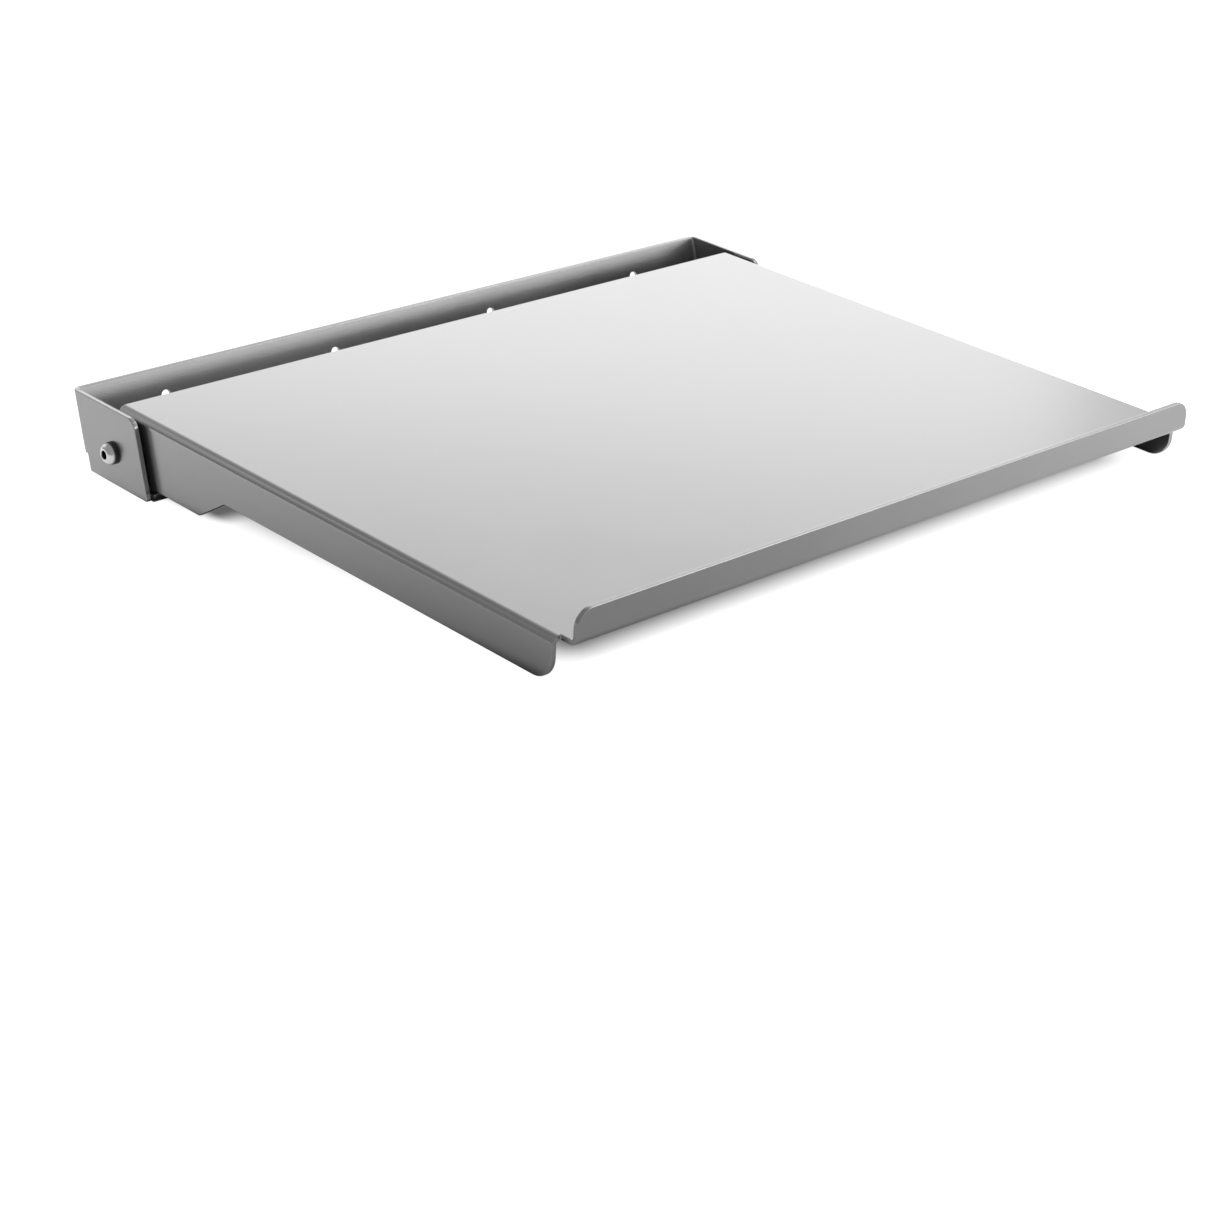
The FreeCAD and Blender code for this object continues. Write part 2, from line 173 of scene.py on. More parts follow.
@dataclass
class Form:
    """A mesh in the making, which becomes an object."""

    bm: BMesh = field(default_factory=bmesh.new, kw_only=True)

    def merge(self) -> None:
        """Join the vertices that lie on each other."""
        bmesh.ops.remove_doubles(self.bm, verts=self.bm.verts[:], dist=SAME_POINT)

    def face_out(self) -> None:
        """Turn every face to look outwards."""
        bmesh.ops.recalc_face_normals(self.bm, faces=self.bm.faces[:])

    def move(self, matrix: Matrix) -> None:
        """Move the whole form."""
        bmesh.ops.transform(self.bm, matrix=matrix, verts=self.bm.verts[:])

    def spin(
        self, geom: list[Any], centre: Vector, axis: Vector, angle: float, steps: int, **more: Any
    ) -> list[Any]:
        """Spin vertices and edges round an axis through a centre, and return where they end."""
        spun = bmesh.ops.spin(self.bm, geom=geom, cent=centre, axis=axis, angle=angle, steps=steps, **more)
        return spun["geom_last"]

    def outline(self, corners: Sequence[Triple], place: Place) -> list[BMEdge]:
        """Make a flat face from an outline with rounded corners.

        Args:
            corners: (a, b, radius) of each corner, in order round the face.
            place: Turns a and b into a point in space.

        Returns:
            The straight edges; each has the number of the corner that it leaves.
        """
        bm = self.bm
        origin = place(0.0, 0.0)
        normal = (place(1.0, 0.0) - origin).cross(place(0.0, 1.0) - origin)
        known = set(bm.edges)
        ends: list[tuple[BMVert, BMVert]] = []
        for number, (a, b, radius) in enumerate(corners):
            here = Vector((a, b))
            if radius <= 0:
                vert = bm.verts.new(place(a, b))
                ends.append((vert, vert))
                continue
            before = (Vector(corners[number - 1][:2]) - here).normalized()
            after = (Vector(corners[(number + 1) % len(corners)][:2]) - here).normalized()
            half = before.angle(after) / 2
            centre = here + (before + after).normalized() * (radius / math.sin(half))
            start = bm.verts.new(place(*(here + before * (radius / math.tan(half)))))
            turn = math.copysign(math.pi - 2 * half, (-before).cross(after))
            last = self.spin([start], place(*centre), normal, turn, ARC_STRIPS)
            ends.append((start, next(item for item in last if isinstance(item, BMVert))))
        arcs = [edge for edge in bm.edges if edge not in known]
        sides = [bm.edges.new((first[1], second[0])) for first, second in zip(ends, ends[1:] + ends[:1])]
        bmesh.ops.contextual_create(bm, geom=arcs + sides)
        return sides

    def roll(self, edge: BMEdge, centre: Vector, axis: Vector, angle: float) -> None:
        """Sweep an edge round an axis through a centre, as a bend in the sheet does."""
        self.spin([edge, *edge.verts], centre, axis, angle, ARC_STRIPS)

    def thicken(self, outward: Vector) -> None:
        """Give a folded surface the sheet's thickness on its inner side.

        Args:
            outward: Direction that the largest face looks in.
        """
        self.merge()
        self.face_out()
        largest = max(self.bm.faces, key=BMFace.calc_area)
        if largest.normal.dot(outward) < 0:
            bmesh.ops.reverse_faces(self.bm, faces=self.bm.faces[:])
        self.bm.normal_update()
        bmesh.ops.solidify(self.bm, geom=self.bm.faces[:], thickness=GAUGE)
        self.face_out()

    def soften(self, width: float) -> None:
        """Round off every edge where two faces meet at a clear angle.

        Args:
            width: Distance from each edge to the start of its rounding.
        """
        edges = [edge for edge in self.bm.edges if edge.calc_face_angle(0.0) > SHARP]
        bmesh.ops.bevel(
            self.bm, geom=edges, offset=width, offset_type="OFFSET", segments=BREAK_STRIPS, profile=0.5,
            affect="EDGES", material=-1, clamp_overlap=False,
        )

    def pierce(self, centres: Sequence[Vector], inward: Vector, radius: float) -> None:
        """Cut round holes through the sheet, with a softened rim on both faces.

        Args:
            centres: Centre of each hole, on the sheet's outer face.
            inward: Unit direction into the sheet.
            radius: Radius of the holes.
        """
        bm = self.bm
        turn = inward.to_track_quat("Z", "Y").to_matrix().to_4x4()
        wide = radius + HOLE_BREAK
        levels = ((0.0, wide), (HOLE_BREAK, radius), (GAUGE - HOLE_BREAK, radius), (GAUGE, wide))
        holes: list[list[list[BMEdge]]] = []
        for centre in centres:
            rings = []
            for depth, reach in levels:
                known = set(bm.edges)
                place = Matrix.Translation(centre + inward * depth) @ turn
                bmesh.ops.create_circle(bm, segments=ROUND_STRIPS, radius=reach, matrix=place)
                rings.append([edge for edge in bm.edges if edge not in known])
            holes.append(rings)
        bm.normal_update()
        for level, depth, facing in ((0, 0.0, -inward), (-1, GAUGE, inward)):
            height = (centres[0] + inward * depth).dot(facing)
            alike = [face for face in bm.faces if face.normal.dot(facing) > SAME_WAY]
            flats = [face for face in alike if abs(face.verts[0].co.dot(facing) - height) < FLAT_WITHIN]
            flat = max(flats, key=BMFace.calc_area)
            edges = list(flat.edges) + [edge for rings in holes for edge in rings[level]]
            bmesh.ops.delete(bm, geom=[flat], context="FACES_ONLY")
            bmesh.ops.triangle_fill(bm, use_beauty=True, edges=edges, normal=facing)
        for rings in holes:
            for first, second in zip(rings, rings[1:]):
                bmesh.ops.bridge_loops(bm, edges=first + second)
        self.face_out()

    def pierce_sides(self, half: float, pivot: Vector, radius: float) -> None:
        """Cut the hinge's hole through both sides, which stand half a width from the middle."""
        for side in Side:
            self.pierce([Vector((side.value * half, pivot.y, pivot.z))], Vector((-side.value, 0, 0)), radius)

    def turn(self, profile: Sequence[Point], closed: bool = False) -> None:
        """Turn a profile about the Z axis.

        Args:
            profile: (radius, height) points.
            closed: Whether the last point joins the first.
        """
        bm = self.bm
        verts = [bm.verts.new((radius, 0.0, height)) for radius, height in profile]
        edges = [bm.edges.new(pair) for pair in zip(verts, verts[1:])]
        if closed:
            edges.append(bm.edges.new((verts[-1], verts[0])))
        self.spin(verts + edges, ORIGIN, Z_AXIS, math.tau, ROUND_STRIPS, use_merge=True)
        self.merge()
        self.face_out()

    def hexagon(self, radius: float, flats: float) -> list[tuple[BMVert, float]]:
        """Move every vertex at one distance from the Z axis onto a hexagon.

        Args:
            radius: The vertices' distance.
            flats: Width of the hexagon across its flats.

        Returns:
            Each vertex with its new distance.
        """
        sixth = math.pi / 3
        moved = []
        for vert in [vert for vert in self.bm.verts if abs(vert.co.xy.length - radius) < SAME_POINT]:
            angle = math.atan2(vert.co.y, vert.co.x) % sixth - sixth / 2
            reach = flats / 2 / math.cos(angle)
            vert.co.xy = vert.co.xy.normalized() * reach
            moved.append((vert, reach))
        return moved

    def finish(self, name: str, material: Material) -> Object:
        """Make the form an object and free it.

        Args:
            name: The object's name.
            material: Its material.

        Returns:
            The object.
        """
        mesh = bpy.data.meshes.new(name)
        self.bm.to_mesh(mesh)
        self.bm.free()
        mesh.materials.append(material)
        return add_object(name, mesh)

    def dress(self, name: str, finish: "Finish", body: Body, node: str) -> None:
        """Make the form a piece, give it its finish and tie it to the frame.

        Args:
            name: The piece's name.
            finish: Its finish.
            body: Body that it rides on.
            node: Node that it stands for.
        """
        self.bm.normal_update()
        for face in self.bm.faces:
            face.smooth = True
        for edge in self.bm.edges:
            edge.smooth = edge.calc_face_angle(0.0) < CREASE
        piece = self.finish(name, finish.material())
        normals = piece.modifiers.new("even_normals", "WEIGHTED_NORMAL")
        normals.mode = "FACE_AREA"
        normals.keep_sharp = True
        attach(piece, body.value)
        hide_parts(node)
        log.info("%s: %d faces, stands for %s", name, len(piece.data.polygons), node)


class Wiring:
    """Adds nodes to one node tree and joins them up, with one socket as the place of its patterns."""

    def __init__(self, tree: NodeTree, source: str, place: str) -> None:
        """Keep the tree, and add the node and output that its place comes from."""
        self.tree = tree
        self.given = self.node(source).outputs
        self.place = self.given[place]

    @classmethod
    def fresh(cls, owner: Material | World, coordinates: str = "Object") -> Self:
        """Return the wiring of a material or world, cleared of nodes."""
        owner.use_nodes = True
        owner.node_tree.nodes.clear()
        return cls(owner.node_tree, "TexCoord", coordinates)

    def node(self, kind: str, inputs: dict[Any, Any] | None = None, **settings: Any) -> Node:
        """Add a node.

        Args:
            kind: The node's type, without ShaderNode before it.
            inputs: Value or socket for each input, by name or number.
            **settings: The node's own properties.

        Returns:
            The new node.
        """
        made = self.tree.nodes.new(kind if kind.startswith("NodeGroup") else "ShaderNode" + kind)
        for name, value in settings.items():
            setattr(made, name, value)
        for name, value in (inputs or {}).items():
            if isinstance(value, NodeSocket):
                self.tree.links.new(value, made.inputs[name])
            else:
                made.inputs[name].default_value = value
        return made

    def maths(self, operation: str, *values: Any, clamp: bool = False) -> NodeSocket:
        """Work on numbers or sockets, and hold the result between 0 and 1 if asked."""
        return self.node("Math", dict(enumerate(values)), operation=operation, use_clamp=clamp).outputs[0]

    def vector(self, operation: str, *values: Any) -> NodeSocket:
        """Work on vectors; a length or a dot product comes out as a number."""
        output = "Value" if operation in ("LENGTH", "DOT_PRODUCT") else 0
        return self.node("VectorMath", dict(enumerate(values)), operation=operation).outputs[output]

    def noise(self, scale: Any, detail: float = 2.0) -> NodeSocket:
        """Return the level of a noise."""
        return self.node("TexNoise", {"Vector": self.place, "Scale": scale, "Detail": detail}).outputs["Fac"]

    def rise(self, by: Any, span: Point = (0, 1), ends: Point = (0, 1), smooth: bool = False) -> NodeSocket:
        """Go from one end to the other as a value crosses a span, evenly or as a smooth step."""
        inputs = dict(zip(("Value", "From Min", "From Max", "To Min", "To Max"), (by, *span, *ends)))
        kind = "SMOOTHSTEP" if smooth else "LINEAR"
        return self.node("MapRange", inputs, interpolation_type=kind).outputs["Result"]

    def blend(self, mask: Any, first: Any, second: Any) -> NodeSocket:
        """Mix two colours; the mask is the second one's share."""
        return self.node("Mix", {0: mask, 6: first, 7: second}, data_type="RGBA").outputs[2]

    def bump(self, height: NodeSocket, depth: float, strength: float) -> NodeSocket:
        """Turn a height into a normal, from what a height of 1 is in metres and the share that shows."""
        inputs = {"Height": height, "Distance": depth, "Strength": strength}
        return self.node("Bump", inputs).outputs["Normal"]

    def rays(self) -> tuple[NodeSocket, NodeSocket]:
        """Return whether a ray is the eye's own or comes through glass, and whether it is a reflection."""
        ray = self.node("LightPath").outputs
        return self.maths("MAXIMUM", ray["Is Camera Ray"], ray["Is Transmission Ray"]), ray["Is Glossy Ray"]

    def use(self, effect: "Effect", **numbers: float) -> Any:
        """Place a shared effect, with underscores for spaces in its numbers, and return its outputs."""
        named = {label.replace("_", " ").title(): value for label, value in numbers.items()}
        return self.node("Group", {"Vector": self.place, **named}, node_tree=effect.group()).outputs

    def cover(self, mask: NodeSocket, layer: "Layer", colour: NodeSocket) -> NodeSocket:
        """Cover a colour with a layer where a mask says."""
        return self.blend(self.maths("MULTIPLY", mask, layer.share), colour, grey(layer.level))


class Pattern(Wiring):
    """Wiring of a group that finishes share; each method wires one effect and returns its outputs."""

    finer_grain: float = 3.7
    finer_share: float = 0.35
    patches: Point = (0.2, 1.1)
    wander_scale: float = 900.0
    wander_turns: float = 2.0

    def grain(self) -> list[NodeSocket]:
        """Wire a fine grain and a slow mottling.

        Returns:
            Sockets of the mottling's mask and of the grain's height.
        """
        mottle = self.noise(self.given["Mottle Scale"], 3.0)
        coarse = self.noise(self.given["Grain Scale"])
        fine = self.noise(self.maths("MULTIPLY", self.given["Grain Scale"], self.finer_grain), 1.0)
        return [mottle, self.maths("MULTIPLY_ADD", fine, self.finer_share, coarse)]

    def flake(self) -> list[NodeSocket]:
        """Wire the mask of sparkling flakes in a coat."""
        cell = self.node("TexVoronoi", {"Vector": self.place, "Scale": self.given["Scale"]}).outputs["Color"]
        shade = self.node("SeparateColor", {"Color": cell}).outputs[0]
        return [self.maths("POWER", shade, self.given["Rarity"])]

    def edge(self) -> list[NodeSocket]:
        """Wire the edge mask that lightens edges: rubbed or scuffed wear, and on the coat a painted
        highlight.

        Returns:
            Socket of the edges' mask.
        """
        face = self.node("NewGeometry").outputs["Normal"]
        soft = self.node("Bevel", {"Radius": self.given["Radius"]}, samples=4).outputs["Normal"]
        turned = self.maths("SUBTRACT", 1.0, self.vector("DOT_PRODUCT", soft, face))
        strong = self.maths("MULTIPLY", turned, self.given["Strength"], clamp=True)
        broken = self.rise(self.noise(self.given["Patch Scale"]), ends=self.patches)
        return [self.maths("MULTIPLY", strong, broken, clamp=True)]

    def dust(self) -> list[NodeSocket]:
        """Wire dust that settles on faces that look up.

        Returns:
            Socket of the dust's mask.
        """
        face = self.node("NewGeometry").outputs["Normal"]
        upward = self.maths("MAXIMUM", self.node("SeparateXYZ", {"Vector": face}).outputs["Z"], 0.0)
        thick = self.maths("MULTIPLY", upward, self.noise(self.given["Scale"], 4.0))
        return [self.maths("MULTIPLY", thick, self.given["Amount"], clamp=True)]

    def turning(self) -> list[NodeSocket]:
        """Wire the rings that turning or stamping leaves round the X axis.

        Returns:
            Sockets of the rings' height, of their mask and of the distance from the axis.
        """
        reach = self.vector("LENGTH", self.vector("MULTIPLY", self.place, (0.0, 1.0, 1.0)))
        turns = self.maths("MULTIPLY", self.maths("DIVIDE", reach, self.given["Pitch"]), math.tau)
        wander = self.maths("MULTIPLY_ADD", self.noise(self.wander_scale), self.wander_turns, turns)
        wave = self.maths("SINE", wander)
        return [wave, self.maths("MULTIPLY_ADD", wave, 0.5, 0.5, clamp=True), reach]


@dataclass(frozen=True)
class Effect:
    """An effect that finishes share, as one node group with a Vector input and these numbers."""

    name: str
    numbers: tuple[str, ...]
    outputs: tuple[str, ...]
    wire: Callable[[Pattern], list[NodeSocket]]

    def group(self) -> NodeTree:
        """Return the effect's group, built at its first use.

        Returns:
            The group.
        """
        if self.name in bpy.data.node_groups:
            return bpy.data.node_groups[self.name]
        group = bpy.data.node_groups.new(self.name, "ShaderNodeTree")
        group.interface.new_socket("Vector", in_out="INPUT", socket_type="NodeSocketVector")
        for way, labels in (("INPUT", self.numbers), ("OUTPUT", self.outputs)):
            for label in labels:
                group.interface.new_socket(label, in_out=way, socket_type="NodeSocketFloat")
        wiring = Pattern(group, "NodeGroupInput", "Vector")
        wiring.node("NodeGroupOutput", dict(zip(self.outputs, self.wire(wiring))))
        return group


GRAIN = Effect("surface_grain", ("Mottle Scale", "Grain Scale"), ("Mottle", "Height"), Pattern.grain)
FLAKE = Effect("coat_flake", ("Scale", "Rarity"), ("Mask",), Pattern.flake)
# Edge mask: real wear on steel and plastic, a painted highlight along the coat's rounded edges.
EDGE_WEAR_AND_HIGHLIGHT = Effect("edge_wear_and_highlight", ("Radius", "Strength", "Patch Scale"), ("Mask",), Pattern.edge)
DUST = Effect("settled_dust", ("Scale", "Amount"), ("Mask",), Pattern.dust)
TURNING = Effect("turning_rings", ("Pitch",), ("Height", "Mask", "Reach"), Pattern.turning)


def grey(level: float, blue: float = 0.0) -> Colour:
    """Return a grey, with a small share of blue added."""
    return (level, level * (1 + blue / 2), level * (1 + blue), 1.0)


@dataclass(frozen=True)
class Layer:
    """What covers part of a finish: the share of it that shows, and its grey."""

    share: float
    level: float


@dataclass(frozen=True)
class Finish:
    """A finish of the holder's surfaces; each kind wires its own shader."""

    name: str
    slot: Slot
    level: float
    roughness: float
    blue: float = 0.0
    tones: Point = (0.96, 1.04)
    rough_span: Point = (-0.04, 0.01)

    def toned(self, wiring: Wiring, mask: NodeSocket) -> NodeSocket:
        """Vary the finish's colour between its two tones."""
        return wiring.blend(mask, *(grey(self.level * tone, self.blue) for tone in self.tones))

    def roughened(self, wiring: Wiring, mask: NodeSocket) -> NodeSocket:
        """Vary the finish's roughness across its span."""
        low, high = self.rough_span
        return wiring.rise(mask, ends=(self.roughness + low, self.roughness + high))

    def material(self) -> Material:
        """Return the finish's material, made at its first use.

        Returns:
            The material.
        """
        if self.name in bpy.data.materials:
            return bpy.data.materials[self.name]
        made = bpy.data.materials.new(self.name)
        wiring = Wiring.fresh(made)
        wiring.place = wiring.node("Mapping", {"Vector": wiring.place, "Location": -HINGE}).outputs["Vector"]
        shader = wiring.node("BsdfPrincipled", self.sockets(wiring))
        wiring.node("OutputMaterial", {"Surface": shader.outputs["BSDF"]})
        return made

    def sockets(self, wiring: Wiring) -> dict[str, Any]:
        """Wire the finish and return what feeds its shader.

        Args:
            wiring: The material's wiring.

        Returns:
            Value or socket for each of the shader's inputs.
        """
        raise NotImplementedError


@dataclass(frozen=True)
class SilverCoat(Finish):
    """Satin silver powder coat with a fine metallic flake."""

    metallic: float = 0.92
    flakes: Layer = Layer(0.06, 0.9)
    # Edges lightened towards a pale grey: painted highlight along the rounded edges, with some rubbed wear.
    edge_highlight_and_wear: Layer = Layer(0.7, 0.85)
    dust_level: float = 0.72
    dust_roughness: float = 0.3
    peel_depth: float = 0.00002
    peel_strength: float = 0.05

    def sockets(self, wiring: Wiring) -> dict[str, Any]:
        """Wire mottling, flakes, edges lightened as a painted highlight with some rubbed wear, settled dust
        and an orange-peel surface.

        Args:
            wiring: The material's wiring.

        Returns:
            Value or socket for each of the shader's inputs.
        """
        grain = wiring.use(GRAIN, mottle_scale=22.0, grain_scale=150.0)
        flake = wiring.use(FLAKE, scale=2400.0, rarity=5.0)["Mask"]
        edge = wiring.use(EDGE_WEAR_AND_HIGHLIGHT, radius=0.0006, strength=3.0, patch_scale=60.0)["Mask"]
        dust = wiring.use(DUST, scale=260.0, amount=0.04)["Mask"]
        sparkling = wiring.cover(flake, self.flakes, self.toned(wiring, grain["Mottle"]))
        # Painted highlight: the edge mask lightens the coat's colour along its edges, with some rubbed wear.
        edge_highlight_and_wear = wiring.cover(edge, self.edge_highlight_and_wear, sparkling)
        worn_rough = self.roughened(wiring, grain["Mottle"])
        return {
            "Base Color": wiring.blend(dust, edge_highlight_and_wear, grey(self.dust_level)),
            "Metallic": self.metallic,
            "Roughness": wiring.maths("MULTIPLY_ADD", dust, self.dust_roughness, worn_rough, clamp=True),
            "Normal": wiring.bump(grain["Height"], self.peel_depth, self.peel_strength),
        }


@dataclass(frozen=True)
class BrightSteel(Finish):
    """Turned or plated steel with rings about the hinge axis."""

    tones: Point = (0.9, 1.08)
    rough_span: Point = (-0.04, 0.06)
    edge_highlight_and_wear: Layer = Layer(0.5, 0.92)
    ring_pitch: float = 0.0002
    ring_depth: float = 0.000004
    ring_strength: float = 0.2
    # Painted shade: within this distance from the axis, in the hex socket, the colour goes dark.
    socket_shade_reach: Point | None = None
    socket_shade_level: float = 0.03

    def sockets(self, wiring: Wiring) -> dict[str, Any]:
        """Wire turning rings, a cloudy tone, brighter edges and painted shade that darkens the hex socket
        near the axis.

        Args:
            wiring: The material's wiring.

        Returns:
            Value or socket for each of the shader's inputs.
        """
        rings = wiring.use(TURNING, pitch=self.ring_pitch)
        grain = wiring.use(GRAIN, mottle_scale=300.0, grain_scale=4000.0)
        edge = wiring.use(EDGE_WEAR_AND_HIGHLIGHT, radius=0.0003, strength=3.0, patch_scale=500.0)["Mask"]
        colour = wiring.cover(edge, self.edge_highlight_and_wear, self.toned(wiring, grain["Mottle"]))
        # Painted shade in the hex socket, darker nearer the axis.
        if self.socket_shade_reach:
            shaded_within, unshaded_beyond = self.socket_shade_reach
            socket_shade = wiring.rise(rings["Reach"], (unshaded_beyond, shaded_within))
            colour = wiring.blend(socket_shade, colour, grey(self.socket_shade_level))
        return {
            "Base Color": colour,
            "Metallic": 1.0,
            "Roughness": self.roughened(wiring, rings["Mask"]),
            "Normal": wiring.bump(rings["Height"], self.ring_depth, self.ring_strength),
        }


@dataclass(frozen=True)
class MouldedPlastic(Finish):
    """Moulded nylon or rubber: a fine texture, with dust in it."""

    tones: Point = (0.85, 1.15)
    rough_span: Point = (-0.06, 0.06)
    scuffed: Layer = Layer(0.1, 0.5)
    ior: float = 1.53
    dust: float = 0.08
    dust_level: float = 0.6
    grain_scale: float = 2500.0
    grain_depth: float = 0.00003
    grain_strength: float = 0.4
    glow: float = 0.0

    def sockets(self, wiring: Wiring) -> dict[str, Any]:
        """Wire a moulded grain, pale dust and scuffed edges.

        Args:
            wiring: The material's wiring.

        Returns:
            Value or socket for each of the shader's inputs.
        """
        grain = wiring.use(GRAIN, mottle_scale=150.0, grain_scale=self.grain_scale)
        edge = wiring.use(EDGE_WEAR_AND_HIGHLIGHT, radius=0.0003, strength=2.0, patch_scale=700.0)["Mask"]
        dust = wiring.use(DUST, scale=900.0, amount=self.dust)["Mask"]
        scuffed = wiring.cover(edge, self.scuffed, self.toned(wiring, grain["Mottle"]))
        return {
            "Base Color": wiring.blend(dust, scuffed, grey(self.dust_level)),
            "Roughness": self.roughened(wiring, grain["Mottle"]),
            "IOR": self.ior,
            "Subsurface Weight": self.glow,
            "Normal": wiring.bump(grain["Height"], self.grain_depth, self.grain_strength),
        }


COAT = SilverCoat("silver_powder_coat", Slot.COAT, 0.44, 0.25)
STAINLESS = BrightSteel("turned_stainless", Slot.STAINLESS, 0.92, 0.16, socket_shade_reach=(0.0020, 0.0024))
ZINC = BrightSteel("zinc_plate", Slot.ZINC, 0.66, 0.3, blue=0.03, ring_pitch=0.0005, ring_strength=0.1)
BLACK_NYLON = MouldedPlastic("black_nylon_moulding", Slot.BLACK_NYLON, 0.02, 0.45)
NUT_NYLON = MouldedPlastic("natural_nylon", Slot.NUT_NYLON, 0.8, 0.4, glow=0.15)
RUBBER = MouldedPlastic("matt_rubber", Slot.RUBBER, 0.025, 0.8, dust=0.15, grain_scale=1500.0)


@dataclass
class LaptopTray(Form):
    """Tray folded from one sheet, in its own plane: y from the lip's face back, z out of the top."""

    half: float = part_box("laptop_tray")[1].x
    depth: float = 0.320
    lip_rise: float = 0.0135
    lip_corner: float = 0.008
    corner_notch: float = 0.0055
    side_drop: float = 0.021
    rear_drop: float = 0.0335
    side_nose: float = 0.011
    deep_run: float = 0.065
    ramp_run: float = 0.020
    ramp_round: float = 0.003
    heel_drop: float = 0.0015
    heel_round: float = 0.0015
    pivot_drop: float = 0.0223
    pivot_inset: float = 0.001
    pivot_radius: float = 0.00306

    @property
    def pivot(self) -> Vector:
        """Hinge axis in the tray's own plane."""
        return Vector((0.0, self.depth - self.pivot_inset, -self.pivot_drop))

    @property
    def lobe(self) -> float:
        """Radius of the side flanges round the hinge."""
        return self.rear_drop - self.pivot_drop

    @property
    def front(self) -> float:
        """Front end of the side flanges."""
        return BEND_OUTER + self.corner_notch

    @property
    def opened(self) -> Matrix:
        """Matrix from the tray's own plane to where the open tray is."""
        return Matrix.Translation(HINGE) @ Matrix.Rotation(TILT, 4, "X") @ Matrix.Translation(-self.pivot)

    def flange_outline(self) -> list[Triple]:
        """Return a side flange's outline below its bend, as (y, z, radius) from the bend's rear end."""
        ramp_rear = self.depth - self.deep_run
        neck = Vector((self.depth, -BEND_OUTER - self.heel_drop))
        arm = neck - self.pivot.yz
        angle = math.atan2(arm.y, arm.x) - math.acos(self.lobe / arm.length)
        touch = self.pivot.yz + Vector((math.cos(angle), math.sin(angle))) * self.lobe
        heel = neck.lerp(touch, (-self.rear_drop - neck.y) / (touch.y - neck.y))
        return [
            (self.depth, -BEND_OUTER, 0), (self.front, -BEND_OUTER, 0),
            (self.front, -self.side_drop, self.side_nose),
            (ramp_rear - self.ramp_run, -self.side_drop, self.ramp_round),
            (ramp_rear, -self.rear_drop, self.ramp_round),
            (heel.x, -self.rear_drop, self.lobe),
            (self.depth, neck.y, self.heel_round),
        ]

    def fold_side(self, side: Side) -> None:
        """Make a side flange and the bend at its top.

        Args:
            side: End of the tray.
        """
        x = side.value * self.half
        edges = self.outline(self.flange_outline(), lambda y, z: Vector((x, y, z)))
        centre = Vector((x - side.value * BEND_OUTER, 0.0, -BEND_OUTER))
        self.roll(edges[0], centre, Y_AXIS, -side.value * QUARTER)

    def fold_lip(self) -> None:
        """Make the front lip and the bend at its foot."""
        half = self.half - BEND_OUTER - BEND_LAND
        outline = mirrored([(half, BEND_INNER, 0), (half, self.lip_rise, self.lip_corner)])
        edges = self.outline(outline, lambda x, z: Vector((x, GAUGE, z)))
        self.roll(edges[-1], Vector((0.0, BEND_OUTER, BEND_INNER)), X_AXIS, QUARTER)

    def lay_top(self) -> None:
        """Make the flat top between the bends, with a notch at each front corner."""
        wide = self.half - BEND_OUTER
        narrow = wide - BEND_LAND
        right = [
            (narrow, BEND_OUTER, 0), (narrow, self.front, EDGE_BREAK),
            (wide, self.front, 0), (wide, self.depth, 0),
        ]
        self.outline(mirrored(right), lambda x, y: Vector((x, y, 0.0)))

    def build(self) -> None:
        """Fold the sheet, thicken it, round its edges, drill it and lay it open."""
        for side in Side:
            self.fold_side(side)
        self.fold_lip()
        self.lay_top()
        self.thicken(Z_AXIS)
        self.soften(EDGE_BREAK)
        self.pierce_sides(self.half, self.pivot, self.pivot_radius)
        self.move(self.opened)
        self.dress("tray_sheet", COAT, Body.TRAY, "laptop_tray")


